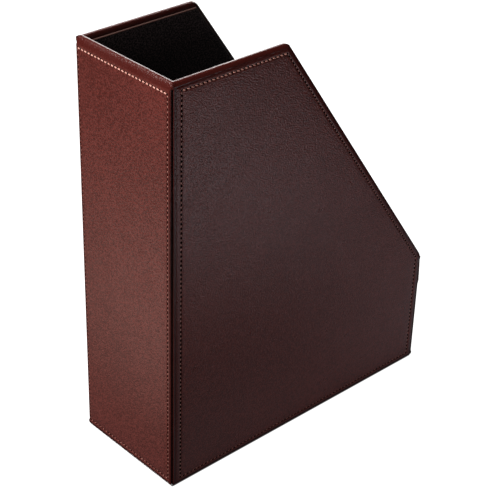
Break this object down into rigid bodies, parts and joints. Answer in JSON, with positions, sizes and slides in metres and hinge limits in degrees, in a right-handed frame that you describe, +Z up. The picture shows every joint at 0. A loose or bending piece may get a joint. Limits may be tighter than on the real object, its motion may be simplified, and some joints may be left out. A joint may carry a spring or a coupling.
{
  "type": "desktop_magazine_rack",
  "caption": "Upright desktop magazine rack in stitched dark brown leather, with a tall spine, slanted sides, a low front and a black velveteen lining",
  "frame": {"origin": "middle of the rectangle that the rack covers on the table, at the underside of its pad", "axes": "+X towards the low front, with the tall spine at -X; +Y across the rack; +Z up. Left is -Y, as seen by somebody who faces the low front."},
  "size_m": [0.256, 0.099, 0.318],
  "materials": {
    "leather": "smooth, satin, dark chocolate brown",
    "board": "fibreboard, stained nearly black",
    "card": "black card",
    "lining": "black velveteen, short nap",
    "thread": "waxed thread, dark brown",
    "felt": "dense felt, near black"
  },
  "bodies": {
    "root": {"spine_board": "board", "spine_backing": "card", "spine_cover": "leather", "spine_lining": "lining", "spine_stitching": "thread", "left_side_board": "board", "left_side_backing": "card", "left_side_cover": "leather", "left_side_lining": "lining", "left_side_stitching": "thread", "right_side_board": "board", "right_side_backing": "card", "right_side_cover": "leather", "right_side_lining": "lining", "right_side_stitching": "thread", "front_board": "board", "front_backing": "card", "front_cover": "leather", "front_lining": "lining", "front_stitching": "thread", "base_board": "board", "floor_lining": "lining", "base_pad": "felt"}
  },
  "joints": []
}
